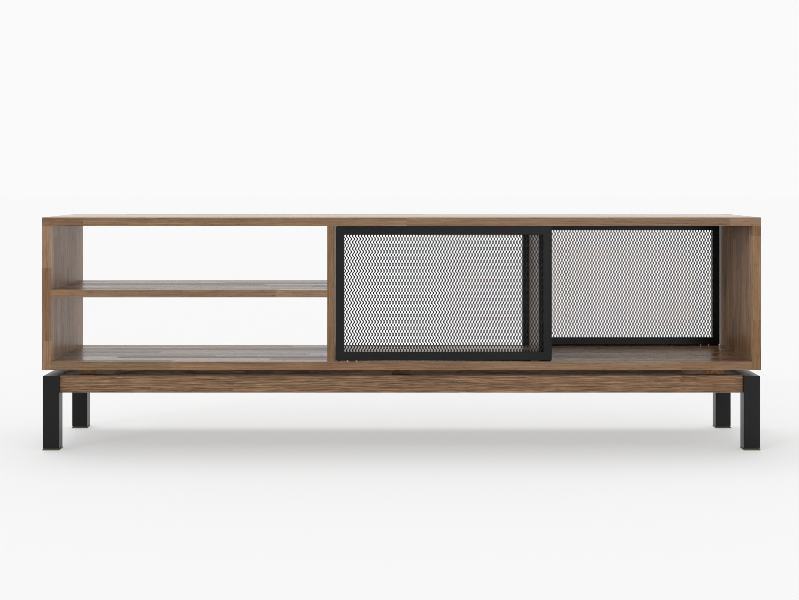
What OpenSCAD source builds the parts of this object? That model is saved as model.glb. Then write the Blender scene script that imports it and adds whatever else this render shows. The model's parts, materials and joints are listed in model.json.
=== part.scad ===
// Low walnut media cabinet on a steel-legged base, with two sliding mesh doors.
// The origin is on the floor under the middle of the cabinet; the front faces -Y and +Z is up.

/* [Cabinet] */
// Width of the cabinet
cabinet_w = 1800; // [1600:10:2200]
// Depth of the cabinet, front to back
cabinet_d = 400; // [380:5:480]
// Height of the cabinet box, without its base
cabinet_h = 382.5; // [350:0.5:450]
// Thickness of the top, bottom and side panels
panel_t = 21.5; // [20:0.5:28]
// Thickness of the left divider and the shelf
board_t = 18; // [15:0.5:22]
// Clear width of the open left bay
left_bay_w = 692.7; // [560:0.1:700]
// Thickness of the recessed centre divider
centre_t = 15; // [12:0.5:20]
// How far the centre divider stops short of the cabinet's front and back
centre_recess = 38; // [32:1:60]
// How far the metal trim wraps over the centre divider's edges
trim_wrap = 12; // [8:1:20]
// Sheet thickness of the metal trim
trim_t = 1.2; // [1:0.1:2]

/* [Base] */
// Height of the base, from the floor to the tops of the legs
base_h = 186.5; // [140:0.5:260]
// Open gap between the base and the cabinet
shadow_gap = 15; // [10:1:25]
// How far the base stands in from the cabinet's front and back
base_inset_y = 3.6; // [0:0.1:20]
// How far the base stands in from the cabinet's sides
base_inset_x = 0.9; // [0:0.1:20]
// Outer width of the square leg tube
leg_w = 41.4; // [35:0.1:50]
// Wall of the leg tube
leg_wall = 2; // [1.5:0.5:3]
// Height of the front and back rails
rail_h = 43; // [38:0.5:60]
// Thickness of the front and back rails
rail_t = 30; // [25:1:40]
// How far the rails stand back from the faces of the legs
rail_setback = 10; // [4:1:11]
// Width of the bearers that carry the cabinet
bearer_w = 48; // [40:1:60]
// Height of the bearers
bearer_h = 45; // [40:1:50]
// Distance from the middle to the outer bearers
bearer_x = 791; // [600:1:791]
// Thickness of the foot pads
foot_h = 3.5; // [2:0.5:8]
// Height of the recessed cap between a foot pad and its leg
cap_h = 2; // [1:0.5:5]
// Size of the corner brackets
bracket_size = 34; // [30:1:36]

/* [Doors] */
// Width of a door
door_w = 541; // [530:1:560]
// Width and depth of the door frame tube
frame_w = 20; // [18:1:25]
// Wall of the door frame tube
frame_wall = 1.5; // [1:0.1:2]
// How far the doors stand in from the cabinet's front and back
door_setback = 6; // [4:0.5:8]
// Gap over a door
door_gap_top = 2.2; // [1.8:0.1:4]
// Gap under a door
door_gap_bottom = 3.2; // [2:0.1:3.6]
// Gap between a door and the end of its bay, when the door is on its stop
door_end_gap = 3.7; // [2:0.1:6]
// How far the back door rests from its stop
back_door_rest = 1.9; // [0:0.1:5]
// Thickness of the door's mesh sheet
mesh_t = 1.5; // [1:0.1:3]
// Short way of the mesh lattice
mesh_short = 24; // [24:1:60]
// Long way of the mesh lattice
mesh_long = 48; // [48:1:120]

/* [Running gear] */
// Outer width of the guide channels
channel_w = 10; // [10:0.5:12]
// Wall of the guide channels
channel_wall = 1; // [0.8:0.1:1.5]
// Depth of the channels in the cabinet's floor
floor_channel_h = 5; // [4.5:0.5:5.5]
// Depth of the channels in the underside of the top
top_channel_h = 10; // [8:0.5:12]
// Radius of a door roller
roller_r = 11; // [10.5:0.5:11]
// Width of a door roller
roller_w = 6; // [5:0.5:6]
// Radius of the roller axles
axle_r = 1.95; // [1.5:0.05:2.5]
// Distance from a door's edge to its roller's axle
roller_inset = 40; // [36:1:80]

/* [Hidden] */
$fn = 48;

walnut = "#7d5c45";
walnut_rail = "#80604a";
black_metal = "#26272a";
black_channel = "#1b1c1e";
zinc = "#9a9c9f";
black_nylon = "#2a2a2b";
black_pile = "#151414";
beech = "#c9a877";
bronze = "#6b5c2e";

// A cut reaches this far past the face it opens
cut = 1;

// Heights and faces of the cabinet
half_w = cabinet_w / 2;
half_d = cabinet_d / 2;
cabinet_z0 = base_h + shadow_gap;
cabinet_z1 = cabinet_z0 + cabinet_h;
floor_z = cabinet_z0 + panel_t;
ceiling_z = cabinet_z1 - panel_t;
inner_x = half_w - panel_t;
inner_h = ceiling_z - floor_z;
shelf_z = floor_z + (inner_h - board_t) / 2;

// The left divider stands between the two bays
divider_x0 = -inner_x + left_bay_w;
bay_x0 = divider_x0 + board_t;
bay_x1 = inner_x;
bay_w = bay_x1 - bay_x0;
centre_x = (bay_x0 + bay_x1) / 2;
centre_half_d = half_d - centre_recess;

// The base and its parts
base_y = half_d - base_inset_y;
base_x = half_w - base_inset_x;
leg_z0 = foot_h + cap_h;
leg_in_x = base_x - leg_w;
rail_out_y = base_y - rail_setback;
rail_in_y = rail_out_y - rail_t;
bearer_z0 = cabinet_z0 - bearer_h;
bearer_xs = [-bearer_x, 0, bearer_x];

// The doors: their planes, their left edges and their travel
door_z0 = floor_z + door_gap_bottom;
door_h = inner_h - door_gap_bottom - door_gap_top;
door_y = half_d - door_setback - frame_w / 2;
front_door_x = bay_x0 + door_end_gap;
back_door_x = bay_x1 - door_end_gap - back_door_rest - door_w;
mesh_w = door_w - 2 * frame_w;
mesh_h = door_h - 2 * frame_w;
// Share of a diamond's width that its opening takes, on the short and the long way
mesh_open = 0.81;
// Plain margin round the lattice
mesh_margin = 3;

// Running gear, with heights in the door's own frame
running_gap = 0.3;
roller_z = roller_r + running_gap + channel_wall - floor_channel_h - door_gap_bottom;
roller_xs = [roller_inset, door_w - roller_inset];
axle_clearance = 0.05;
fork_slack = 0.3;
fork_l = 26;
fork_w = 9;
slot_l = 2 * roller_r + 2;
slot_w = roller_w + 2;
guide_xs = [60, door_w - 60];
guide_w = 6;
guide_margin = 1.5;
guide_shank_r = 2.9;
guide_shank_l = 6;
guide_reach = 6;
brush_w = 5;
brush_margin = 1.5;
brush_spans = [
    [brush_margin, roller_xs[0] - slot_l / 2],
    [roller_xs[0] + slot_l / 2, roller_xs[1] - slot_l / 2],
    [roller_xs[1] + slot_l / 2, door_w - brush_margin],
];
stop_l = 20;
stop_w = 6;
stop_h = 3.4;
stop_gap = 0.5;

// Dowels, by the face they cross: the long part goes into the end grain behind them
dowel_r = 4;
dowel_long = 24;
dowel_short = 12;
dowel_slack = 0.05;
side_dowel_ys = [-150, -50, 50, 150];
centre_dowel_ys = [-100, 0, 100];
shelf_dowel_ys = [-120, 0, 120];

top_joints = [
    for (side = [-1, 1], y = side_dowel_ys) [[side * (half_w - panel_t / 2), y, ceiling_z], [0, 0, 1]]
];
bottom_joints = [
    for (side = [-1, 1], y = side_dowel_ys) [[side * inner_x, y, cabinet_z0 + panel_t / 2], [side, 0, 0]]
];
divider_joints = [
    for (up = [-1, 1], y = side_dowel_ys)
        [[divider_x0 + board_t / 2, y, up > 0 ? ceiling_z : floor_z], [0, 0, up]]
];
centre_joints = [
    for (up = [-1, 1], y = centre_dowel_ys) [[centre_x, y, up > 0 ? ceiling_z : floor_z], [0, 0, up]]
];
shelf_joints = [
    for (side = [-1, 1], y = shelf_dowel_ys)
        [[side > 0 ? divider_x0 : -inner_x, y, shelf_z + board_t / 2], [side, 0, 0]]
];
bearer_joints = [
    for (x = bearer_xs, offset = [-12, 12], side = [-1, 1])
        [[x + offset, side * rail_in_y, bearer_z0 + rail_h / 2 - 6], [0, side, 0]]
];

// Bolts that hold the cabinet down on the bearers
bolt_ys = [-110, 110];
bolt_r = 3;
bolt_hole_r = 3.2;
bolt_head_r = 5;
bolt_head_h = 6;
bolt_recess_r = 7;
bolt_recess_h = 20;
bolt_reach = 12;
insert_r = 5;
insert_bore_r = 3.05;
insert_l = 13;

// Corner brackets and their screws
bracket_t = 3;
bracket_h = 30;
bracket_z = 148;
screw_along = 20;
screw_zs = [bracket_z + 7, bracket_z + 23];
screw_r = 2;
screw_hole_r = 2.1;
screw_head_r = 3.8;
screw_head_h = 2;
wood_screw_l = 16;
tube_screw_l = 10;

// A box between two corners
module box_between(low, high) {
    translate(low) cube(high - low);
}

// Turns +Z to the given direction, at the given place
module aim(at, direction) {
    translate(at)
        rotate([0, acos(direction[2]), atan2(direction[1], direction[0])])
            children();
}

// The dowels of a set of joints, or the holes that take them
module dowels(joints, slack = 0) {
    for (j = joints)
        aim(j[0], j[1])
            translate([0, 0, -dowel_long - 4 * slack])
                cylinder(r = dowel_r + slack, h = dowel_long + dowel_short + 8 * slack);
}

// A length of U channel along X, open at the top
module channel(length, height) {
    difference() {
        translate([0, -channel_w / 2, 0]) cube([length, channel_w, height]);
        translate([-cut, channel_wall - channel_w / 2, channel_wall])
            cube([length + 2 * cut, channel_w - 2 * channel_wall, height]);
    }
}

// ---- Cabinet ----

module top_panel() {
    color(walnut)
        difference() {
            box_between([-half_w, -half_d, ceiling_z], [half_w, half_d, cabinet_z1]);
            for (side = [-1, 1])
                translate([bay_x0, side * door_y - channel_w / 2, ceiling_z - cut])
                    cube([bay_w, channel_w, top_channel_h + cut]);
            dowels(top_joints, dowel_slack);
            dowels(divider_joints, dowel_slack);
            dowels(centre_joints, dowel_slack);
        }
}

module bottom_panel() {
    color(walnut)
        difference() {
            box_between([-inner_x, -half_d, cabinet_z0], [inner_x, half_d, floor_z]);
            for (side = [-1, 1])
                translate([bay_x0, side * door_y - channel_w / 2, floor_z - floor_channel_h])
                    cube([bay_w, channel_w, floor_channel_h + cut]);
            for (x = bearer_xs, y = bolt_ys)
                translate([x, y, cabinet_z0 - cut]) cylinder(r = insert_r, h = insert_l + 2 * cut);
            dowels(bottom_joints, dowel_slack);
            dowels(divider_joints, dowel_slack);
            dowels(centre_joints, dowel_slack);
        }
}

module side_panel(side) {
    color(walnut)
        difference() {
            translate([side > 0 ? inner_x : -half_w, -half_d, cabinet_z0])
                cube([panel_t, cabinet_d, cabinet_h - panel_t]);
            dowels(top_joints, dowel_slack);
            dowels(bottom_joints, dowel_slack);
            if (side < 0) dowels(shelf_joints, dowel_slack);
        }
}

module left_divider() {
    color(walnut)
        difference() {
            box_between([divider_x0, -half_d, floor_z], [bay_x0, half_d, ceiling_z]);
            dowels(divider_joints, dowel_slack);
            dowels(shelf_joints, dowel_slack);
        }
}

module centre_divider() {
    color(walnut)
        difference() {
            translate([centre_x - centre_t / 2, trim_t - centre_half_d, floor_z])
                cube([centre_t, 2 * (centre_half_d - trim_t), inner_h]);
            for (side = [-1, 1], face = [-1, 1])
                translate([centre_x + face * (centre_t / 2), side * centre_half_d, floor_z + inner_h / 2])
                    cube([2 * trim_t, 2 * trim_wrap, inner_h + 2 * cut], center = true);
            dowels(centre_joints, dowel_slack);
        }
}

module centre_divider_trim(side) {
    color(black_metal)
        difference() {
            translate([centre_x, side * (centre_half_d - trim_wrap / 2), floor_z + inner_h / 2])
                cube([centre_t, trim_wrap, inner_h], center = true);
            translate([centre_x, side * (centre_half_d - trim_wrap / 2 - trim_t), floor_z + inner_h / 2])
                cube([centre_t - 2 * trim_t, trim_wrap, inner_h + 2 * cut], center = true);
        }
}

module shelf() {
    color(walnut)
        difference() {
            box_between([-inner_x, -half_d, shelf_z], [divider_x0, half_d, shelf_z + board_t]);
            dowels(shelf_joints, dowel_slack);
        }
}

module carcass_dowels() {
    color(beech) dowels(concat(top_joints, bottom_joints, divider_joints, centre_joints));
}

module shelf_dowels() {
    color(beech) dowels(shelf_joints);
}

module top_channel(side) {
    color(black_channel)
        translate([bay_x0, side * door_y, ceiling_z + top_channel_h])
            mirror([0, 0, 1]) channel(bay_w, top_channel_h);
}

module floor_channel(side) {
    color(black_channel)
        translate([bay_x0, side * door_y, floor_z - floor_channel_h]) channel(bay_w, floor_channel_h);
}

module channel_stops() {
    from_wall = door_end_gap + roller_inset - roller_r - stop_gap - stop_l;
    color(black_channel)
        for (side = [-1, 1], x = [bay_x0 + from_wall, bay_x1 - from_wall - stop_l])
            translate([x, side * door_y - stop_w / 2, floor_z - floor_channel_h + channel_wall])
                cube([stop_l, stop_w, stop_h]);
}

// ---- Base ----

// A leg of square tube at the front left, cut to a mitre where it meets the side tube
module leg_tube() {
    length = base_h - leg_z0;
    difference() {
        translate([leg_w, 0, 0])
            rotate([90, 0, -90])
                linear_extrude(leg_w)
                    polygon([[0, 0], [-leg_w, 0], [-leg_w, length - leg_w], [0, length]]);
        translate([leg_wall, leg_wall, -cut])
            cube([leg_w - 2 * leg_wall, leg_w - 2 * leg_wall, length + 2 * cut]);
    }
}

// Places the front left corner's parts at the corner given by two signs
module at_corner(side_x, side_y) {
    mirror([side_x > 0 ? 1 : 0, 0, 0])
        mirror([0, side_y > 0 ? 1 : 0, 0])
            translate([-base_x, -base_y, 0])
                children();
}

module leg(side_x, side_y) {
    color(black_metal)
        difference() {
            at_corner(side_x, side_y) translate([0, 0, leg_z0]) leg_tube();
            tube_screw_holes();
        }
}

module side_tube(side) {
    color(black_metal)
        difference() {
            translate([side > 0 ? base_x : -leg_in_x, 0, 0])
                rotate([90, 0, -90])
                    linear_extrude(leg_w)
                        polygon([
                            [-base_y, base_h], [base_y, base_h],
                            [base_y - leg_w, base_h - leg_w], [leg_w - base_y, base_h - leg_w]
                        ]);
            translate([side * (base_x - leg_w / 2), 0, base_h - leg_w / 2])
                cube([leg_w - 2 * leg_wall, 2 * base_y + 2 * cut, leg_w - 2 * leg_wall], center = true);
            tube_screw_holes();
        }
}

module rail(side) {
    color(walnut_rail)
        difference() {
            translate([-leg_in_x, side > 0 ? rail_in_y : -rail_out_y, base_h - rail_h])
                cube([2 * leg_in_x, rail_t, rail_h]);
            dowels(bearer_joints, dowel_slack);
            for (side_x = [-1, 1], z = screw_zs)
                aim([side_x * (leg_in_x - screw_along), side * (rail_in_y - cut), z], [0, side, 0])
                    cylinder(r = screw_hole_r, h = wood_screw_l + 2 * cut);
        }
}

module bearer(x) {
    color(walnut_rail)
        difference() {
            translate([x - bearer_w / 2, -rail_in_y, bearer_z0]) cube([bearer_w, 2 * rail_in_y, bearer_h]);
            dowels(bearer_joints, dowel_slack);
            for (y = bolt_ys) {
                translate([x, y, bearer_z0 - cut]) cylinder(r = bolt_hole_r, h = bearer_h + 2 * cut);
                translate([x, y, bearer_z0 - cut]) cylinder(r = bolt_recess_r, h = bolt_recess_h + cut);
            }
        }
}

module bearer_dowels() {
    color(beech) dowels(bearer_joints);
}

module cabinet_bolts() {
    seat_z = bearer_z0 + bolt_recess_h;
    color(zinc)
        for (x = bearer_xs, y = bolt_ys)
            translate([x, y, seat_z]) {
                translate([0, 0, -bolt_head_h]) cylinder(r = bolt_head_r, h = bolt_head_h);
                cylinder(r = bolt_r, h = cabinet_z0 - seat_z + bolt_reach);
            }
}

module threaded_inserts() {
    color("#b08d4a")
        for (x = bearer_xs, y = bolt_ys)
            translate([x, y, cabinet_z0])
                difference() {
                    cylinder(r = insert_r - dowel_slack, h = insert_l);
                    translate([0, 0, -cut]) cylinder(r = insert_bore_r, h = insert_l + 2 * cut);
                }
}

// The holes in the side tubes and legs for the bracket screws
module tube_screw_holes() {
    for (side_x = [-1, 1], side_y = [-1, 1], z = screw_zs)
        aim([side_x * (leg_in_x - cut), side_y * (rail_in_y - screw_along), z], [side_x, 0, 0])
            cylinder(r = screw_hole_r, h = leg_wall + 2 * cut);
}

module corner_bracket() {
    difference() {
        translate([0, 0, bracket_z])
            linear_extrude(bracket_h)
                polygon([
                    [leg_in_x, rail_in_y],
                    [leg_in_x - bracket_size, rail_in_y],
                    [leg_in_x - bracket_size, rail_in_y - bracket_t],
                    [leg_in_x - bracket_t, rail_in_y - bracket_t],
                    [leg_in_x - bracket_t, rail_in_y - bracket_size],
                    [leg_in_x, rail_in_y - bracket_size]
                ]);
        for (z = screw_zs) {
            aim([leg_in_x - screw_along, rail_in_y - bracket_t - cut, z], [0, 1, 0])
                cylinder(r = screw_hole_r, h = bracket_t + 2 * cut);
            aim([leg_in_x - bracket_t - cut, rail_in_y - screw_along, z], [1, 0, 0])
                cylinder(r = screw_hole_r, h = bracket_t + 2 * cut);
        }
    }
}

module corner_brackets() {
    color(zinc)
        for (flip_x = [0, 1], flip_y = [0, 1])
            mirror([flip_x, 0, 0]) mirror([0, flip_y, 0]) corner_bracket();
}

module screw(length) {
    translate([0, 0, -screw_head_h]) cylinder(r = screw_head_r, h = screw_head_h);
    cylinder(r = screw_r, h = length);
}

module bracket_screws() {
    color(zinc)
        for (side_x = [-1, 1], side_y = [-1, 1], z = screw_zs) {
            aim([side_x * (leg_in_x - screw_along), side_y * (rail_in_y - bracket_t), z], [0, side_y, 0])
                screw(wood_screw_l);
            aim([side_x * (leg_in_x - bracket_t), side_y * (rail_in_y - screw_along), z], [side_x, 0, 0])
                screw(tube_screw_l);
        }
}

// Plastic plugs in the feet of the legs, with a recessed collar that shows as a dark line
module leg_end_caps() {
    collar_inset = 1.2;
    plug_inset = leg_wall + 0.1;
    plug_h = 14;
    color(black_channel)
        for (side_x = [-1, 1], side_y = [-1, 1])
            at_corner(side_x, side_y) {
                translate([collar_inset, collar_inset, foot_h])
                    cube([leg_w - 2 * collar_inset, leg_w - 2 * collar_inset, cap_h]);
                translate([plug_inset, plug_inset, foot_h])
                    cube([leg_w - 2 * plug_inset, leg_w - 2 * plug_inset, plug_h]);
            }
}

module foot(side_x, side_y) {
    overhang = 0.5;
    color(bronze)
        at_corner(side_x, side_y)
            translate([-overhang, -overhang, 0])
                cube([leg_w + 2 * overhang, leg_w + 2 * overhang, foot_h]);
}

// ---- Doors, drawn with the lower left corner at the origin and the tube's middle on Y = 0 ----

// Places a door's parts at the front or the back of the cabinet
module at_door(side) {
    translate([side > 0 ? back_door_x : front_door_x, side * door_y, door_z0])
        children();
}

// The outline of one mitred frame member along X, with its outer edge on the X axis
module mitred_member(length) {
    difference() {
        rotate([90, 0, 0])
            linear_extrude(frame_w, center = true)
                polygon([[0, 0], [length, 0], [length - frame_w, frame_w], [frame_w, frame_w]]);
        translate([-cut, frame_wall - frame_w / 2, frame_wall])
            cube([length + 2 * cut, frame_w - 2 * frame_wall, frame_w - 2 * frame_wall]);
    }
}

module door_left_stile() {
    color(black_metal) mirror([1, 0, 0]) rotate([0, -90, 0]) mitred_member(door_h);
}

module door_right_stile() {
    color(black_metal) translate([door_w, 0, 0]) rotate([0, -90, 0]) mitred_member(door_h);
}

module door_top_rail() {
    color(black_metal)
        difference() {
            translate([0, 0, door_h]) mirror([0, 0, 1]) mitred_member(door_w);
            for (x = guide_xs)
                translate([x, 0, door_h - frame_wall - cut])
                    cylinder(r = guide_shank_r + dowel_slack, h = frame_wall + 2 * cut);
        }
}

module door_bottom_rail() {
    color(black_metal)
        difference() {
            mitred_member(door_w);
            for (x = roller_xs)
                translate([x - slot_l / 2, -slot_w / 2, -cut]) cube([slot_l, slot_w, frame_wall + 2 * cut]);
        }
}

// Expanded metal sheet: rows of upright diamonds, each row half a diamond along from the last
module door_mesh() {
    columns = ceil(mesh_w / mesh_short);
    rows = ceil(mesh_h / mesh_long);
    reach_x = mesh_w / 2 - mesh_margin - mesh_short / 2;
    reach_z = mesh_h / 2 - mesh_margin - mesh_long / 2;
    open_x = mesh_short / 2 * mesh_open;
    open_z = mesh_long / 2 * mesh_open;
    color(black_metal)
        translate([door_w / 2, 0, door_h / 2])
            rotate([90, 0, 0])
                linear_extrude(mesh_t, center = true)
                    difference() {
                        square([mesh_w, mesh_h], center = true);
                        for (i = [-columns : columns], j = [-rows : rows]) {
                            x = i * mesh_short / 2;
                            z = j * mesh_long / 2;
                            if ((i + j) % 2 == 0 && abs(x) <= reach_x && abs(z) <= reach_z)
                                translate([x, z])
                                    polygon([[-open_x, 0], [0, -open_z], [open_x, 0], [0, open_z]]);
                        }
                    }
}

// Strip along the top rail that runs in the channel above, held by two plugs
module door_top_guide() {
    color(black_nylon)
        translate([0, 0, door_h]) {
            translate([guide_margin, -guide_w / 2, 0])
                cube([door_w - 2 * guide_margin, guide_w, door_gap_top + guide_reach]);
            for (x = guide_xs)
                translate([x, 0, -guide_shank_l])
                    cylinder(r = guide_shank_r, h = guide_shank_l + guide_reach);
        }
}

// Brush that fills the gap under the door, between its rollers and beside them
module door_brush_strip() {
    color(black_pile)
        for (span = brush_spans)
            translate([span[0], -brush_w / 2, running_gap - door_gap_bottom])
                cube([span[1] - span[0], brush_w, door_gap_bottom - running_gap]);
}

// Moulded forks inside the bottom rail that hold the axles
module door_roller_forks() {
    color(black_nylon)
        for (x = roller_xs)
            translate([x, 0, 0])
                difference() {
                    translate([-fork_l / 2, -fork_w / 2, frame_wall])
                        cube([fork_l, fork_w, frame_w - 2 * frame_wall]);
                    translate([-fork_l / 2 - cut, -roller_w / 2 - fork_slack, frame_wall - cut])
                        cube([
                            fork_l + 2 * cut,
                            roller_w + 2 * fork_slack,
                            roller_z + roller_r + running_gap - frame_wall + cut
                        ]);
                    aim([0, -fork_w, roller_z], [0, 1, 0])
                        cylinder(r = axle_r + axle_clearance, h = 2 * fork_w);
                }
}

module door_axles() {
    color(zinc)
        for (x = roller_xs)
            aim([x, -fork_w / 2, roller_z], [0, 1, 0]) cylinder(r = axle_r, h = fork_w);
}

module door_roller(x) {
    color(black_nylon)
        aim([x, -roller_w / 2, roller_z], [0, 1, 0])
            difference() {
                cylinder(r = roller_r, h = roller_w);
                translate([0, 0, -cut]) cylinder(r = axle_r + axle_clearance, h = roller_w + 2 * cut);
            }
}

// ---- Nodes ----

top_panel();
bottom_panel();
side_panel(-1);  // left_side_panel
side_panel(1);  // right_side_panel
left_divider();
centre_divider();
centre_divider_trim(-1);  // centre_divider_front_trim
centre_divider_trim(1);  // centre_divider_back_trim
shelf();
carcass_dowels();
shelf_dowels();
top_channel(-1);  // front_top_channel
top_channel(1);  // back_top_channel
floor_channel(-1);  // front_floor_channel
floor_channel(1);  // back_floor_channel
channel_stops();

leg(-1, -1);  // front_left_leg
leg(1, -1);  // front_right_leg
leg(-1, 1);  // back_left_leg
leg(1, 1);  // back_right_leg
side_tube(-1);  // left_side_tube
side_tube(1);  // right_side_tube
rail(-1);  // front_rail
rail(1);  // back_rail
bearer(-bearer_x);  // left_bearer
bearer(0);  // centre_bearer
bearer(bearer_x);  // right_bearer
bearer_dowels();
cabinet_bolts();
threaded_inserts();
corner_brackets();
bracket_screws();
leg_end_caps();
foot(-1, -1);  // front_left_foot
foot(1, -1);  // front_right_foot
foot(-1, 1);  // back_left_foot
foot(1, 1);  // back_right_foot

at_door(-1) door_left_stile();  // front_door_left_stile
at_door(-1) door_right_stile();  // front_door_right_stile
at_door(-1) door_top_rail();  // front_door_top_rail
at_door(-1) door_bottom_rail();  // front_door_bottom_rail
at_door(-1) door_mesh();  // front_door_mesh
at_door(-1) door_top_guide();  // front_door_top_guide
at_door(-1) door_brush_strip();  // front_door_brush_strip
at_door(-1) door_roller_forks();  // front_door_roller_forks
at_door(-1) door_axles();  // front_door_axles
at_door(-1) door_roller(roller_xs[0]);  // front_door_left_roller
at_door(-1) door_roller(roller_xs[1]);  // front_door_right_roller

at_door(1) door_left_stile();  // back_door_left_stile
at_door(1) door_right_stile();  // back_door_right_stile
at_door(1) door_top_rail();  // back_door_top_rail
at_door(1) door_bottom_rail();  // back_door_bottom_rail
at_door(1) door_mesh();  // back_door_mesh
at_door(1) door_top_guide();  // back_door_top_guide
at_door(1) door_brush_strip();  // back_door_brush_strip
at_door(1) door_roller_forks();  // back_door_roller_forks
at_door(1) door_axles();  // back_door_axles
at_door(1) door_roller(roller_xs[0]);  // back_door_left_roller
at_door(1) door_roller(roller_xs[1]);  // back_door_right_roller
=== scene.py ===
"""Looks for the low walnut media cabinet with two sliding mesh doors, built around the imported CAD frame."""

import json
import math

import bmesh
import bpy
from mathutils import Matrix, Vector

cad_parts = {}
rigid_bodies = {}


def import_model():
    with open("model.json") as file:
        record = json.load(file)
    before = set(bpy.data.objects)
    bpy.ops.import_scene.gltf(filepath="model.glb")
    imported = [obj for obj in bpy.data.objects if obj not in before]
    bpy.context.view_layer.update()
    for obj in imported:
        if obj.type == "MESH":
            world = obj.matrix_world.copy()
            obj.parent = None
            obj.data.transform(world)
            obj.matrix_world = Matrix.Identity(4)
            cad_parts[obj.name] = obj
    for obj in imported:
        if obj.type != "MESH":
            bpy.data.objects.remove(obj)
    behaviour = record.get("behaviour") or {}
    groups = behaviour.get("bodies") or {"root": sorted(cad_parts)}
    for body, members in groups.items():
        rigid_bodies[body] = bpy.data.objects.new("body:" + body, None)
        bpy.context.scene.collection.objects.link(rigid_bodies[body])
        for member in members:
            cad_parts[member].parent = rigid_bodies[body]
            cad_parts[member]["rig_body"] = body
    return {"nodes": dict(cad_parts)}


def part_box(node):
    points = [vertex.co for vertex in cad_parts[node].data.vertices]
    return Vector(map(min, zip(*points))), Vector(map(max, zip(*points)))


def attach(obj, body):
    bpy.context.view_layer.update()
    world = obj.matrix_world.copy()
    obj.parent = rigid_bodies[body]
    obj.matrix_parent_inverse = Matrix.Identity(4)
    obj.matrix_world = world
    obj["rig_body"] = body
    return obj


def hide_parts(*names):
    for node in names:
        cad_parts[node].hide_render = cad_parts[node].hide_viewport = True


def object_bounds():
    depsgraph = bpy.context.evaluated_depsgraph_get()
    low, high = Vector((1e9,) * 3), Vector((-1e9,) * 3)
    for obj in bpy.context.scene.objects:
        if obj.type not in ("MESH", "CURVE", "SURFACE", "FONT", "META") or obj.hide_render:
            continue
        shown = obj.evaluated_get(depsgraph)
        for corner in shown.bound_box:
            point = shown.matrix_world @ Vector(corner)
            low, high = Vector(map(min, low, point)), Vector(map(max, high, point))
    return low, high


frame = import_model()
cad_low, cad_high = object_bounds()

MM = 0.001
AXES = "xyz"


# ---- Node graphs ----

class Graph:
    """One material's node tree, round its Principled shader."""

    def __init__(self, name, **values):
        self.material = bpy.data.materials.new(name)
        self.material.use_nodes = True
        self.nodes = self.material.node_tree.nodes
        self.links = self.material.node_tree.links
        self.shader = self.nodes["Principled BSDF"]
        for socket, value in values.items():
            self.put(self.shader.inputs[socket.replace("_", " ")], value)
        self.place = self.node("ShaderNodeTexCoord").outputs["Object"]
        apart = self.node("ShaderNodeSeparateXYZ", {"Vector": self.place})
        self.axis = dict(zip(AXES, apart.outputs))

    def put(self, socket, value):
        if isinstance(value, bpy.types.NodeSocket):
            self.links.new(value, socket)
        else:
            socket.default_value = value

    def node(self, kind, inputs=None, **settings):
        made = self.nodes.new(kind)
        for name, value in settings.items():
            setattr(made, name, value)
        for key, value in (inputs or {}).items():
            self.put(made.inputs[key], value)
        return made

    def math(self, operation, *values):
        return self.node("ShaderNodeMath", dict(enumerate(values)), operation=operation).outputs[0]

    def add(self, *values):
        total = values[0]
        for value in values[1:]:
            total = self.math("ADD", total, value)
        return total

    def times(self, a, b):
        return self.math("MULTIPLY", a, b)

    def centred(self, value, gain, middle=0.5):
        """(value - middle) * gain"""
        return self.math("MULTIPLY_ADD", value, gain, -middle * gain)

    def vector(self, x, y, z):
        return self.node("ShaderNodeCombineXYZ", {0: x, 1: y, 2: z}).outputs[0]

    def noise(self, vector, scale=1.0, detail=3.0, roughness=0.5, distortion=0.0):
        made = self.node("ShaderNodeTexNoise", {
            "Vector": vector, "Scale": scale, "Detail": detail,
            "Roughness": roughness, "Distortion": distortion,
        })
        return made.outputs["Fac"]

    def span(self, value, low, high, to_low=0.0, to_high=1.0):
        """Maps low..high smoothly to to_low..to_high."""
        made = self.node("ShaderNodeMapRange", {
            "Value": value, "From Min": low, "From Max": high, "To Min": to_low, "To Max": to_high,
        }, interpolation_type="SMOOTHSTEP")
        return made.outputs["Result"]

    def mix(self, share, a, b, blend="MIX"):
        made = self.node("ShaderNodeMix", data_type="RGBA", blend_type=blend)
        self.put(made.inputs["Factor"], share)
        self.put(made.inputs[6], a)
        self.put(made.inputs[7], b)
        return made.outputs[2]

    def ramp(self, value, stops):
        made = self.node("ShaderNodeValToRGB", {"Fac": value})
        line = made.color_ramp
        while len(line.elements) < len(stops):
            line.elements.new(1.0)
        for element, (at, colour) in zip(line.elements, stops):
            element.position = at
            element.color = (*colour, 1.0)
        return made.outputs["Color"]

    def finish(self, colour, roughness, height=None, depth=0.1 * MM, strength=1.0):
        """Joins colour, roughness and any bumps to the shader; depth is how deep the bumps are."""
        self.put(self.shader.inputs["Base Color"], colour)
        self.put(self.shader.inputs["Roughness"], roughness)
        if height is not None:
            bump = self.node("ShaderNodeBump", {"Height": height, "Distance": depth, "Strength": strength})
            self.put(self.shader.inputs["Normal"], bump.outputs["Normal"])
        return self.material


# ---- Walnut ----

# Walnut from its dark late wood to its pale sapwood streaks
WALNUT = (
    (0.00, (0.050, 0.0262, 0.0136)),
    (0.30, (0.146, 0.0826, 0.0432)),
    (0.52, (0.250, 0.1470, 0.0800)),
    (0.74, (0.348, 0.2140, 0.1220)),
    (1.00, (0.470, 0.3160, 0.1980)),
)
WALNUT_SPECULAR = 0.20
REDDER = (1.16, 0.93, 0.80, 1.0)
GREYER = (0.90, 0.97, 1.05, 1.0)
OPEN_PORE = (0.018, 0.010, 0.006, 1.0)
GLUE = (0.014, 0.008, 0.005, 1.0)
# Staves are counted from a board's front edge, this far before the cabinet's middle
FRONT_EDGE = 0.2
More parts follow.
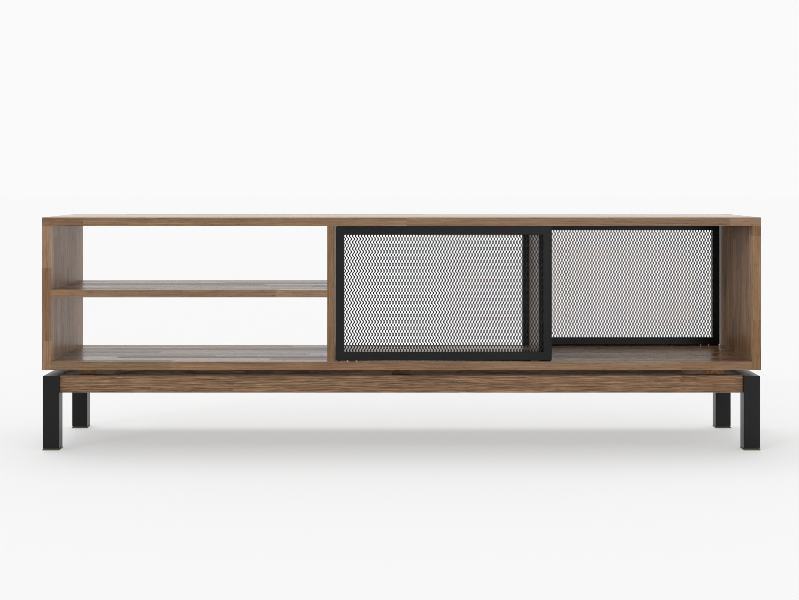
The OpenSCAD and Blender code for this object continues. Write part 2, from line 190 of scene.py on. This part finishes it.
# Finger joints of neighbouring staves are this share of a piece apart
STAGGER = 0.6180
FINGER_LENGTH = 12 * MM
FINGER_PITCH = 13 * MM
GLUE_LINE = 0.16 * MM
RING = 4.2 * MM
# Painted shade: a face that lies in shade is made darker, down to this depth
PAINTED_SHADE_DEPTH = 1.0 * MM
PAINTED_SHADE_TONE = -0.17


def staves_and_pieces(g, run, wide, stave, piece, joint):
    """Where a point lies, counted in staves across the board and in pieces along the stave."""
    stave_at = g.math("DIVIDE", g.math("ADD", wide, FRONT_EDGE), stave)
    zigzag = g.times(g.math("PINGPONG", wide, FINGER_PITCH / 2), 2 * FINGER_LENGTH / FINGER_PITCH)
    stagger = g.times(g.math("FLOOR", stave_at), STAGGER)
    piece_at = g.add(g.math("DIVIDE", g.add(run, zigzag, -joint - FINGER_LENGTH / 2), piece), stagger)
    return stave_at, piece_at


def late_wood(g, run, local, deep, broad, figure, second, third, fourth):
    """The dark side of growth rings round a pith that lies off to one side and leans a little.

    local is the distance across from the middle of the stave. The last three inputs differ between pieces.
    """
    pith_wide = g.add(g.centred(second, 0.16), g.times(run, g.centred(fourth, 0.05)))
    pith_deep = g.add(0.035, g.times(third, 0.07))
    radius = g.math("SQRT", g.add(
        g.math("POWER", g.math("SUBTRACT", local, pith_wide), 2.0),
        g.math("POWER", g.add(deep, pith_deep), 2.0),
    ))
    wavy = g.add(radius, g.centred(broad, 0.030), g.centred(figure, 0.0035))
    return g.math("POWER", g.math("FRACT", g.math("DIVIDE", wavy, RING)), 2.5)


def near_whole(g, value, size):
    """1 within half a glue line of a whole number of value, where one whole is size metres."""
    gap = g.times(g.math("PINGPONG", value, 0.5), size)
    return g.span(gap, 0.5 * GLUE_LINE, 1.5 * GLUE_LINE, 1.0, 0.0)


def walnut(
    name, along, across, through, seed,
    stave=39 * MM, piece=0.8, joint=0.0, brushed=0.0, tone=0.0, gloss=1.0, variety=0.28, front=(0.0, 0.0),
    painted_shade_side=None,
):
    """Walnut glued up from staves that are finger-jointed end to end.

    along, across and through are the row's axes of the grain, of the board's width and of its thickness.
    piece is the length between finger joints, and joint is where one of them lies on the front stave.
    tone is added to the shade. gloss runs from 0, dull, to 1, polished, and brushed from 0 to 1.
    variety is the range of tones between pieces. front holds the tones of every second piece and of those
    between them on the front stave. The last argument is where on the through axis a face with painted shade
    lies.
    """
    g = Graph(name, Specular_IOR_Level=WALNUT_SPECULAR * gloss)
    run, wide, deep = (g.axis[axis] for axis in (along, across, through))
    stave_at, piece_at = staves_and_pieces(g, run, wide, stave, piece, joint)
    stave_number = g.math("FLOOR", stave_at)
    piece_number = g.math("FLOOR", piece_at)
    chance = g.node("ShaderNodeTexWhiteNoise", {
        "Vector": g.vector(stave_number, piece_number, float(seed)),
    }, noise_dimensions="3D")
    first, second, third = g.node("ShaderNodeSeparateColor", {"Color": chance.outputs["Color"]}).outputs
    fourth = chance.outputs["Value"]

    # Each piece is cut from its own place in the tree
    run_in = g.add(run, g.times(first, 9.0))
    wide_in = g.add(wide, g.times(second, 4.0))
    deep_in = g.add(deep, g.times(third, 4.0))

    def streaks(lengthwise, crosswise, detail, roughness, distortion=0.0):
        place = g.vector(
            g.times(run_in, lengthwise), g.times(wide_in, crosswise), g.times(deep_in, crosswise),
        )
        return g.noise(place, 1.0, detail, roughness, distortion)

    broad = streaks(1.3, 16.0, 3.0, 0.55, 0.4)
    figure = streaks(3.2, 62.0, 4.0, 0.6, 0.6)
    grain = streaks(9.0 + 5.0 * brushed, 170.0 + 50.0 * brushed, 3.0, 0.6, 0.3)
    fibre = streaks(14.0 + 8.0 * brushed, 420.0, 4.0, 0.62)
    pores = streaks(48.0, 1500.0, 2.0, 0.5)

    to_middle = g.times(g.math("ADD", stave_number, 0.5), stave)
    local = g.add(g.math("SUBTRACT", wide, to_middle), FRONT_EDGE)
    late = late_wood(g, run, local, deep, broad, figure, second, third, fourth)

    # Pieces differ in tone by chance, apart from the front stave, whose tones are chosen
    drawn = g.centred(first, variety)
    odd = g.math("PINGPONG", piece_number, 1.0)
    picked = g.add(front[0], g.times(odd, front[1] - front[0]))
    in_front = g.math("LESS_THAN", stave_number, 0.5)
    piece_tone = g.add(drawn, g.times(in_front, g.math("SUBTRACT", picked, drawn)))
    # Painted shade: the face that lies in shade is made darker here
    if painted_shade_side is not None:
        piece_tone = g.add(piece_tone, g.span(deep, painted_shade_side, painted_shade_side + PAINTED_SHADE_DEPTH, PAINTED_SHADE_TONE, 0.0))

    # Where the wood lies on its ramp from dark to pale
    shade = g.add(
        0.53 + tone,
        g.centred(broad, 0.56 - 0.10 * brushed),
        g.centred(figure, 0.44 - 0.12 * brushed),
        g.centred(grain, 0.50 + 0.42 * brushed),
        g.centred(fibre, 0.46 + 0.14 * brushed),
        g.centred(late, -0.20, 0.28),
        piece_tone,
    )
    colour = g.ramp(shade, WALNUT)
    # Some pieces are redder and some greyer
    redder = g.mix(1.0, colour, REDDER, "MULTIPLY")
    colour = g.mix(g.span(second, 0.1, 1.0, 0.0, 0.30), colour, redder)
    greyer = g.mix(1.0, colour, GREYER, "MULTIPLY")
    colour = g.mix(g.span(third, 0.3, 1.0, 0.0, 0.28), colour, greyer)
    open_pores = g.span(pores, 0.58, 0.70)
    colour = g.mix(g.times(open_pores, 0.55), colour, OPEN_PORE)

    # Fine dark glue lines between staves and at the finger joints
    fingers = g.times(near_whole(g, piece_at, piece), 0.8)
    glue = g.math("MAXIMUM", near_whole(g, stave_at, stave), fingers)
    colour = g.mix(g.times(glue, 0.45), colour, GLUE)

    roughness = g.add(
        0.38 - 0.17 * gloss + 0.12 * brushed,
        g.centred(third, 0.45 * variety),
        g.centred(fibre, 0.14),
        g.times(open_pores, 0.14),
        g.centred(broad, 0.06),
    )
    height = g.add(
        g.times(fibre, 0.5 + brushed),
        g.times(open_pores, -0.9),
        g.times(glue, -0.5),
        g.times(late, 0.15),
    )
    return g.finish(colour, roughness, height, depth=(0.06 + 0.05 * brushed) * MM)


# ---- Other materials ----

COAT_SPECULAR = 0.21


def powder_coat(name, colour, roughness, seed):
    """Fine-textured black powder coat with a little dust and rubbing."""
    g = Graph(name, Specular_IOR_Level=COAT_SPECULAR)
    shift = (seed * 0.37, seed * 0.11, seed * 0.23)
    place = g.node("ShaderNodeVectorMath", {0: g.place, 1: shift}, operation="ADD").outputs[0]
    grain = g.noise(place, 900.0, 2.0, 0.6)
    peel = g.noise(place, 190.0, 2.0, 0.5)
    cloud = g.noise(place, 9.0, 4.0, 0.6)
    rubbed = g.span(g.noise(place, 34.0, 5.0, 0.65), 0.56, 0.74)
    dark, pale = ((*(c * k for c in colour), 1.0) for k in (0.78, 1.35))
    tint = g.mix(g.span(cloud, 0.3, 0.7), dark, pale)
    tint = g.mix(g.times(g.span(grain, 0.55, 0.8), 0.35), tint, (*(c * 2.1 for c in colour), 1.0))
    rough = g.add(roughness, g.centred(cloud, 0.10), g.times(rubbed, -0.06), g.centred(grain, 0.08))
    height = g.add(g.times(grain, 0.7), g.times(peel, 1.0))
    return g.finish(tint, rough, height, depth=0.05 * MM, strength=0.6)


def brushed_metal(name, colour, roughness, metallic, along, seed):
    """Metal with fine lines along one axis and slight tarnish."""
    g = Graph(name, Metallic=metallic)
    stretch = [900.0, 900.0, 900.0]
    stretch[AXES.index(along)] = 18.0
    place = g.node("ShaderNodeVectorMath", {0: g.place, 1: tuple(stretch)}, operation="MULTIPLY").outputs[0]
    lines = g.noise(place, 1.0, 3.0, 0.6)
    tarnish = g.noise(g.place, 26.0 + seed, 4.0, 0.6)
    dark, pale = ((*(min(1.0, c * k) for c in colour), 1.0) for k in (0.72, 1.12))
    tint = g.mix(g.span(tarnish, 0.3, 0.68), dark, pale)
    rough = g.add(roughness, g.centred(lines, 0.16), g.centred(tarnish, 0.14))
    return g.finish(tint, rough, lines, depth=0.02 * MM, strength=0.5)


def moulded(name, colour, roughness, seed, texture=420.0):
    """Moulded plastic or rubber with a fine spark-eroded skin."""
    g = Graph(name, IOR=1.48)
    skin = g.noise(g.place, texture, 3.0, 0.6)
    cloud = g.noise(g.place, 40.0 + seed, 3.0, 0.5)
    dark, pale = ((*(min(1.0, c * k) for c in colour), 1.0) for k in (0.84, 1.12))
    tint = g.mix(g.span(cloud, 0.3, 0.7), dark, pale)
    rough = g.add(roughness, g.centred(skin, 0.14))
    return g.finish(tint, rough, skin, depth=0.03 * MM, strength=0.6)


def beech_wood(name):
    """Pale beech dowel with short flecks along it."""
    g = Graph(name)
    fibre = g.noise(g.place, 330.0, 4.0, 0.7, 0.5)
    fleck = g.span(g.noise(g.place, 900.0, 2.0, 0.5), 0.55, 0.75)
    colour = g.ramp(fibre, (
        (0.25, (0.40, 0.24, 0.12)),
        (0.55, (0.55, 0.36, 0.20)),
        (0.85, (0.66, 0.47, 0.29)),
    ))
    colour = g.mix(g.times(fleck, 0.35), colour, (0.30, 0.17, 0.08, 1.0))
    return g.finish(colour, g.add(0.55, g.centred(fibre, 0.2)), fibre, depth=0.05 * MM)


def bronze_pad(name):
    """The foot pads' olive-bronze finish."""
    g = Graph(name, Metallic=0.55)
    cloud = g.noise(g.place, 130.0, 4.0, 0.6)
    scuff = g.span(g.noise(g.place, 600.0, 3.0, 0.7), 0.55, 0.72)
    colour = g.mix(g.span(cloud, 0.3, 0.7), (0.060, 0.044, 0.016, 1.0), (0.105, 0.078, 0.030, 1.0))
    colour = g.mix(g.times(scuff, 0.4), colour, (0.16, 0.125, 0.06, 1.0))
    return g.finish(colour, g.add(0.42, g.centred(cloud, 0.2)), cloud, depth=0.03 * MM)


# ---- Pieces made from CAD nodes ----

SAME_POINT = 0.001 * MM
ON_FACE = 0.02 * MM
# In degrees: facets that lie flatter than the first are one face, edges sharper than the second are
# rounded, and shading is smooth up to the third
FLAT = 0.6
SHARP = 50
SMOOTH = 35


def on_planes(points, low, high):
    """The box faces, such as ("-x", "+z"), that all the points lie on."""
    found = []
    for i, axis in enumerate(AXES):
        for sign, limit in (("-", low[i]), ("+", high[i])):
            if all(abs(p[i] - limit) < ON_FACE for p in points):
                found.append(sign + axis)
    return found


def cad_mesh(node):
    """A CAD node's mesh to edit, with its flat faces whole again."""
    bm = bmesh.new()
    bm.from_mesh(frame["nodes"][node].data)
    bmesh.ops.remove_doubles(bm, verts=bm.verts, dist=SAME_POINT)
    bmesh.ops.dissolve_limit(
        bm, angle_limit=math.radians(FLAT), verts=bm.verts, edges=bm.edges, delimit=set(),
    )
    return bm


def round_off(bm, edges, radius, segments):
    bmesh.ops.bevel(
        bm, geom=edges, offset=radius, offset_type="OFFSET", segments=segments, profile=0.5,
        affect="EDGES", clamp_overlap=False,
    )


def shaped(node, suffix, material, radius, along=None, keep_sharp=(), segments=3):
    """A piece in a CAD node's shape with rounded edges; it stands for the node and rides on its body.

    Only edges between two faces of the node's box are rounded, so that grooves and holes stay as cut.
    along limits them to one direction, and keep_sharp names edges that are glued or welded to a neighbour.
    """
    low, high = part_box(node)
    bm = cad_mesh(node)
    chosen = []
    for edge in bm.edges:
        points = [v.co for v in edge.verts]
        faces = on_planes(points, low, high)
        if len(faces) != 2 or "".join(faces) in keep_sharp:
            continue
        run = points[1] - points[0]
        longest = max(range(3), key=lambda i: abs(run[i]))
        if along is None or AXES[longest] == along:
            chosen.append(edge)
    round_off(bm, chosen, radius, segments)
    return finish_piece(bm, node + suffix, material, [node])


def rounded(node, suffix, material, radius, segments=3):
    """A piece in a CAD node's shape with every sharp edge rounded."""
    bm = cad_mesh(node)
    sharp = [e for e in bm.edges if e.is_manifold and e.calc_face_angle(0.0) > math.radians(SHARP)]
    round_off(bm, sharp, radius, segments)
    return finish_piece(bm, node + suffix, material, [node])


def finish_piece(bm, name, material, nodes, smooth=SMOOTH):
    """Turns bm into an object with smooth shading up to an angle, in place of the CAD nodes."""
    mesh = bpy.data.meshes.new(name)
    bmesh.ops.recalc_face_normals(bm, faces=bm.faces)
    bm.to_mesh(mesh)
    bm.free()
    mesh.materials.append(material)
    piece = bpy.data.objects.new(name, mesh)
    bpy.context.scene.collection.objects.link(piece)
    mesh.polygons.foreach_set("use_smooth", [True] * len(mesh.polygons))
    mesh.set_sharp_from_angle(angle=math.radians(smooth))
    normals = piece.modifiers.new("flat faces stay flat", "WEIGHTED_NORMAL")
    normals.keep_sharp = True
    source = frame["nodes"][nodes[0]]
    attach(piece, source["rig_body"])
    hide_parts(*nodes)
    return piece


# ---- Expanded metal ----

LATTICE_SHORT = 7.5 * MM
LATTICE_LONG = 16 * MM
STRAND = 1.62 * MM
SHEET_THICKNESS = 1.1 * MM
STRAND_TILT = 0.34 * MM
# How far an opening's side corners lie inside the cell, as a share of a strand
KNUCKLE = 0.98
# Half the width of an opening's blunt tip, as a share of half a cell, and its length, as a share of that
TIP_WIDTH = 0.13
TIP_LENGTH = 0.55
# Shading is smooth up to this angle, in degrees
FINE_SMOOTH = 28


def diamond_rings():
    """One cell's outer ring on the lattice lines and the ring of its opening, as (x, z, tilt)."""
    a, b = LATTICE_SHORT / 2, LATTICE_LONG / 2
    slope = math.hypot(a, b) / (a * b)
    edge = 1 - STRAND / 2 * slope
    side_x = a - KNUCKLE * STRAND
    side_z = b * (edge - side_x / a)
    tip_x = TIP_WIDTH * a
    tip_z = b * (edge - tip_x / a)
    quarter_out = [(a, 0.0), (a * 2 / 3, b / 3), (a / 3, b * 2 / 3), (0.0, b)]
    quarter_in = [(side_x, 0.0), (side_x, side_z), (tip_x, tip_z), (0.0, tip_z + TIP_LENGTH * tip_x)]
    rings = []
    for quarter in (quarter_out, quarter_in):
        ring = list(quarter)
        ring += [(-x, z) for x, z in reversed(quarter[:-1])]
        ring += [(x, -z) for x, z in reversed(ring[1:-1])]
        rings.append(ring)
    outer = [(x, z, 0.0) for x, z in rings[0]]
    inner = [(x, z, STRAND_TILT * x / side_x) for x, z in rings[1]]
    return outer, inner


def expanded_metal(node, name, material):
    """A raised expanded-metal sheet with upright diamonds, cut to the size of the CAD node's sheet."""
    low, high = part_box(node)
    centre = (low + high) / 2
    outer, inner = diamond_rings()
    count = len(outer)
    columns = math.ceil((high.x - low.x) / LATTICE_SHORT) // 2 + 2
    rows = math.ceil((high.z - low.z) / LATTICE_LONG) + 2
    reach_x = (high.x - low.x) / 2 + LATTICE_SHORT
    reach_z = (high.z - low.z) / 2 + LATTICE_LONG
    half = SHEET_THICKNESS / 2

    points, numbers, faces = [], {}, []

    def vertex(x, z, tilt, side):
        key = (round(x / MM * 1000), round(z / MM * 1000), side)
        if key not in numbers:
            numbers[key] = len(points)
            points.append((centre.x + x, centre.y + tilt + side * half, centre.z + z))
        return numbers[key]

    for row in range(-rows, rows + 1):
        for column in range(-columns, columns + 1):
            at_x = (column + (row % 2) / 2) * LATTICE_SHORT
            at_z = row * LATTICE_LONG / 2
            if abs(at_x) > reach_x or abs(at_z) > reach_z:
                continue
            rings = [
                [[vertex(at_x + x, at_z + z, tilt, side) for x, z, tilt in ring] for ring in (outer, inner)]
                for side in (-1, 1)
            ]
            (front_out, front_in), (back_out, back_in) = rings
            for i in range(count):
                j = (i + 1) % count
                faces.append((front_out[i], front_out[j], front_in[j], front_in[i]))
                faces.append((back_out[j], back_out[i], back_in[i], back_in[j]))
                faces.append((front_in[i], front_in[j], back_in[j], back_in[i]))

    sheet = bpy.data.meshes.new(name + "_lattice")
    sheet.from_pydata(points, [], faces)
    bm = bmesh.new()
    bm.from_mesh(sheet)
    bpy.data.meshes.remove(sheet)
    for corner, outward in ((low, -1), (high, 1)):
        for axis in (0, 2):
            normal = Vector((0, 0, 0))
            normal[axis] = outward
            bmesh.ops.bisect_plane(
                bm, geom=bm.verts[:] + bm.edges[:] + bm.faces[:], plane_co=corner, plane_no=normal,
                clear_outer=True,
            )
    rim = [e for e in bm.edges if e.is_boundary]
    bmesh.ops.holes_fill(bm, edges=rim, sides=0)
    return finish_piece(bm, name, material, [node], FINE_SMOOTH)


# ---- Brush strips ----

TUFT_PITCH = 1.0 * MM
TUFT_WIDTH = 0.94 * MM
TUFT_TIP = 0.62
TUFT_LEAN = 0.16 * MM
# Radians from one tuft's lean to the next one's, so that they look random
LEAN_STEP = 12.9898
BACKING = 0.7 * MM


def brush_strip(node, name, material):
    """Tufts of pile under a thin backing, along each length of the CAD node's strip."""
    low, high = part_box(node)
    ends = sorted({round(v.co.x, 5) for v in frame["nodes"][node].data.vertices})
    bm = bmesh.new()

    def block(x0, x1, z0, z1, tip=1.0, lean=0.0):
        """A block that narrows downwards to a share of its size, with its tip moved along X."""
        corners = []
        for z, share, shift in ((z1, 1.0, 0.0), (z0, tip, lean)):
            middle_x, middle_y = (x0 + x1) / 2 + shift, (low.y + high.y) / 2
            half_x, half_y = (x1 - x0) / 2 * share, (high.y - low.y) / 2 * (0.5 + share / 2)
            corners.append([
                bm.verts.new((middle_x + sx * half_x, middle_y + sy * half_y, z))
                for sx, sy in ((-1, -1), (1, -1), (1, 1), (-1, 1))
            ])
        top, bottom = corners
        bm.faces.new(top)
        bm.faces.new(bottom[::-1])
        for i in range(4):
            j = (i + 1) % 4
            bm.faces.new((top[j], top[i], bottom[i], bottom[j]))

    for start, stop in zip(ends[::2], ends[1::2]):
        block(start, stop, high.z - BACKING, high.z)
        count = int((stop - start) / TUFT_PITCH)
        margin = (stop - start - count * TUFT_PITCH) / 2
        for i in range(count):
            middle = start + margin + (i + 0.5) * TUFT_PITCH
            lean = TUFT_LEAN * math.sin(i * LEAN_STEP) * (0 < i < count - 1)
            block(middle - TUFT_WIDTH / 2, middle + TUFT_WIDTH / 2, low.z, high.z - BACKING, TUFT_TIP, lean)
    return finish_piece(bm, name, material, [node], FINE_SMOOTH)


# ---- The materials of the record's slots ----

wood = {
    "top_panel": walnut(
        "walnut_top", "x", "y", "z", 3,
        piece=0.809, joint=0.016, gloss=1.0, front=(0.06, 0.15),
    ),
    "bottom_panel": walnut(
        "walnut_bottom", "x", "y", "z", 11,
        piece=0.640, joint=-0.577, tone=-0.07, gloss=0.66, variety=0.34, front=(0.16, 0.16),
    ),
    "shelf": walnut(
        "walnut_shelf", "x", "y", "z", 23,
        piece=0.520, joint=-0.310, gloss=0.65, front=(0.24, 0.20),
    ),
    "left_side_panel": walnut(
        "walnut_left_side", "z", "y", "x", 31,
        piece=0.1827, joint=0.2772, tone=0.05, gloss=0.36, variety=0.15, front=(0.06, 0.26),
    ),
    "right_side_panel": walnut(
        "walnut_right_side", "z", "y", "x", 47,
        piece=0.210, joint=0.330, gloss=0.12, variety=0.15, front=(0.24, 0.08),
    ),
    "left_divider": walnut(
        "walnut_left_divider", "z", "y", "x", 59,
        piece=0.260, joint=0.312, gloss=0.08, variety=0.15, front=(0.06, 0.06),
    ),
    "centre_divider": walnut(
        "walnut_centre_divider", "z", "y", "x", 61,
        piece=0.230, joint=0.350, gloss=0.3, variety=0.15,
    ),
    "front_rail": walnut(
        "walnut_front_rail", "x", "z", "y", 71,
        stave=0.6, piece=0.560, joint=-0.420, brushed=1.0, tone=-0.20,
    ),
    # The back rail's front face lies in the shade of the gap under the cabinet; its darker tone there is
    # painted shade
    "back_rail": walnut(
        "walnut_back_rail", "x", "z", "y", 83,
        stave=0.6, piece=0.610, joint=0.150, brushed=1.0, tone=-0.20, painted_shade_side=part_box("back_rail")[0].y,
    ),
    "outer_bearers": walnut(
        "walnut_outer_bearers", "y", "x", "z", 97,
        stave=0.3, piece=0.900, joint=-0.400, brushed=1.0, tone=-0.30, gloss=0.5,
    ),
    # The centre bearer uses the outer bearers' walnut made darker: painted shade for the deeper shade in the
    # middle of the gap
    "centre_bearer": walnut(
        "walnut_centre_bearer_painted_shade", "y", "x", "z", 97,
        stave=0.3, piece=0.900, joint=-0.400, brushed=1.0, tone=-0.48, gloss=0.5,
    ),
}
leg_metal = powder_coat("black_powder_legs", (0.0038, 0.0038, 0.0039), 0.32, 1)
door_metal = powder_coat("black_powder_doors", (0.0030, 0.0030, 0.0031), 0.28, 2)
trim_metal = powder_coat("black_powder_trim", (0.0100, 0.0098, 0.0098), 0.42, 3)
channel_metal = brushed_metal("black_anodised", (0.030, 0.030, 0.032), 0.36, 0.85, "x", 1)
zinc = brushed_metal("zinc_plate", (0.62, 0.63, 0.64), 0.32, 1.0, "z", 2)
brass = brushed_metal("brass", (0.72, 0.50, 0.22), 0.30, 1.0, "z", 3)
nylon = moulded("black_nylon", (0.020, 0.020, 0.021), 0.46, 1)
pile = moulded("brush_pile", (0.010, 0.009, 0.009), 0.88, 4, texture=1400.0)
black_plastic = moulded("black_plastic", (0.016, 0.016, 0.016), 0.52, 2)
rubber = moulded("black_rubber", (0.020, 0.020, 0.020), 0.74, 3)
beech = beech_wood("beech_dowel")
pad = bronze_pad("bronze_pad")


# ---- Cabinet ----

EASED = 0.7 * MM
RAIL_EASED = 0.6 * MM
TRIM_EASED = 0.5 * MM

shaped("top_panel", "_board", wood["top_panel"], EASED, keep_sharp=("-x-z", "+x-z"))
shaped("bottom_panel", "_board", wood["bottom_panel"], EASED, along="x")
for side, inner in (("left", "+x"), ("right", "-x")):
    name = side + "_side_panel"
    shaped(name, "_board", wood[name], EASED,
           keep_sharp=("-x+z", "+x+z", "-y+z", "+y+z", inner + "-z"))
shaped("left_divider", "_board", wood["left_divider"], EASED, along="z")
shaped("shelf", "_board", wood["shelf"], EASED, along="x")
frame["nodes"]["centre_divider"].data.materials[0] = wood["centre_divider"]
for end in ("front", "back"):
    shaped(f"centre_divider_{end}_trim", "_sheet", trim_metal, TRIM_EASED, along="z")
    shaped(f"{end}_rail", "_board", wood[f"{end}_rail"], RAIL_EASED, along="x")
for place, stock in (("left", "outer_bearers"), ("centre", "centre_bearer"), ("right", "outer_bearers")):
    shaped(f"{place}_bearer", "_board", wood[stock], RAIL_EASED, along="y")

# ---- Base ----

TUBE_RADIUS = 2.2 * MM
PAD_RADIUS = 0.8 * MM

for side in ("left", "right"):
    for end in ("front", "back"):
        shaped(f"{end}_{side}_leg", "_tube", leg_metal, TUBE_RADIUS, along="z", segments=5)
        rounded(f"{end}_{side}_foot", "_pad", pad, PAD_RADIUS)
    shaped(f"{side}_side_tube", "_tube", leg_metal, TUBE_RADIUS, along="y", segments=5)

# ---- Doors ----

DOOR_TUBE_RADIUS = 0.9 * MM
ROLLER_RADIUS = 0.5 * MM

for door in ("front_door", "back_door"):
    for bar, axis in (("left_stile", "z"), ("right_stile", "z"), ("top_rail", "x"), ("bottom_rail", "x")):
        shaped(f"{door}_{bar}", "_tube", door_metal, DOOR_TUBE_RADIUS, along=axis, segments=4)
    expanded_metal(f"{door}_mesh", f"{door}_expanded_metal", door_metal)
    brush_strip(f"{door}_brush_strip", f"{door}_brush_pile", pile)
    for hand in ("left", "right"):
        rounded(f"{door}_{hand}_roller", "_wheel", nylon, ROLLER_RADIUS)

# ---- CAD nodes that show as they are ----

for material, names in (
    (beech, ["carcass_dowels", "shelf_dowels", "bearer_dowels"]),
    (channel_metal, ["front_top_channel", "back_top_channel", "front_floor_channel", "back_floor_channel"]),
    (rubber, ["channel_stops"]),
    (zinc, ["cabinet_bolts", "corner_brackets", "bracket_screws", "front_door_axles", "back_door_axles"]),
    (brass, ["threaded_inserts"]),
    (black_plastic, ["leg_end_caps"]),
    (nylon, ["front_door_top_guide", "back_door_top_guide",
             "front_door_roller_forks", "back_door_roller_forks"]),
):
    for name in names:
        frame["nodes"][name].data.materials[0] = material


# ---- Studio ----

FLOOR_SPAN = 60.0
FLOOR_COLOUR = (0.38, 0.38, 0.38)
FLOOR_MOTTLE = 0.995
FLOOR_GLOW = 0.430

floor_mesh = bpy.data.meshes.new("studio_floor")
corners = [(sx * FLOOR_SPAN, sy * FLOOR_SPAN, 0) for sx, sy in ((-1, -1), (1, -1), (1, 1), (-1, 1))]
floor_mesh.from_pydata(corners, [], [(0, 1, 2, 3)])
floor_graph = Graph(
    "studio_floor", Specular_IOR_Level=0.0,
    Emission_Color=(1.0, 1.0, 1.0, 1.0), Emission_Strength=FLOOR_GLOW,
)
soft = floor_graph.noise(floor_graph.place, 3.0, 3.0, 0.5)
floor_graph.finish(
    floor_graph.mix(soft, (*(c * FLOOR_MOTTLE for c in FLOOR_COLOUR), 1.0), (*FLOOR_COLOUR, 1.0)),
    floor_graph.add(0.62, floor_graph.centred(soft, 0.06)),
)
floor_mesh.materials.append(floor_graph.material)
floor = bpy.data.objects.new("studio_floor", floor_mesh)
bpy.context.scene.collection.objects.link(floor)

# How bright the camera sees the backdrop, and the light it gives from behind and from the front
SEEN_BACKDROP = 0.956
BACK_LIGHT = 1.0
FRONT_LIGHT = 0.80
# The light goes from front to back over this much of the direction's Y on either side
TURN = 0.35

world = bpy.data.worlds.new("studio")
bpy.context.scene.world = world
world.use_nodes = True
tree = world.node_tree
tree.nodes.clear()


def world_node(kind, **settings):
    made = tree.nodes.new(kind)
    for key, value in settings.items():
        setattr(made, key, value)
    return made


direction = world_node("ShaderNodeTexCoord")
apart = world_node("ShaderNodeSeparateXYZ")
tree.links.new(direction.outputs["Generated"], apart.inputs[0])
turn = world_node("ShaderNodeMapRange", interpolation_type="SMOOTHSTEP")
for socket, value in (
    ("From Min", -TURN), ("From Max", TURN), ("To Min", FRONT_LIGHT), ("To Max", BACK_LIGHT),
):
    turn.inputs[socket].default_value = value
tree.links.new(apart.outputs["Y"], turn.inputs["Value"])
path = world_node("ShaderNodeLightPath")
choose = world_node("ShaderNodeMix", data_type="FLOAT")
tree.links.new(path.outputs["Is Camera Ray"], choose.inputs[0])
tree.links.new(turn.outputs["Result"], choose.inputs[2])
choose.inputs[3].default_value = SEEN_BACKDROP
background = world_node("ShaderNodeBackground")
background.inputs["Color"].default_value = (1.0, 1.0, 1.0, 1.0)
tree.links.new(choose.outputs[0], background.inputs["Strength"])
output = world_node("ShaderNodeOutputWorld")
tree.links.new(background.outputs[0], output.inputs[0])


def soft_sun(name, azimuth, elevation, spread, power, glossy=True):
    """A softbox far away. Azimuth is from straight in front of the cabinet towards its right.

    With glossy off it lights surfaces but shows in no reflection.
    """
    lamp = bpy.data.lights.new(name, "SUN")
    lamp.energy = power
    lamp.angle = math.radians(spread)
    a, e = math.radians(azimuth), math.radians(elevation)
    towards = Vector((math.sin(a) * math.cos(e), -math.cos(a) * math.cos(e), math.sin(e)))
    made = bpy.data.objects.new(name, lamp)
    made.rotation_mode = "QUATERNION"
    made.rotation_quaternion = towards.to_track_quat("Z", "Y")
    made.visible_glossy = glossy
    bpy.context.scene.collection.objects.link(made)


soft_sun("key_left", -40, 24, 5, 0.4)
soft_sun("fill", 12, 1.5, 8, 1.2, glossy=False)
soft_sun("glint_right", 14, 1.5, 20, 0.3)
soft_sun("overhead", 200, 72, 35, 1.3)

# ---- Camera ----

CAMERA_BACK = 3.924
CAMERA_HEIGHT = 0.6777
SENSOR_WIDTH = 36.0
CAMERA_LENS = 70.63
CAMERA_SHIFT = (-0.00243, -0.1502)
PIXEL_FILTER = 0.65

camera_data = bpy.data.cameras.new("camera")
camera_data.sensor_width = SENSOR_WIDTH
camera_data.lens = CAMERA_LENS
camera_data.shift_x, camera_data.shift_y = CAMERA_SHIFT
camera_data.clip_start, camera_data.clip_end = 0.1, 200.0
camera = bpy.data.objects.new("camera", camera_data)
camera.location = (0.0, cad_low.y - CAMERA_BACK, CAMERA_HEIGHT)
camera.rotation_euler = (math.radians(90), 0, 0)
bpy.context.scene.collection.objects.link(camera)
bpy.context.scene.camera = camera
bpy.context.scene.view_settings.view_transform = "Standard"
bpy.context.scene.cycles.filter_width = PIXEL_FILTER
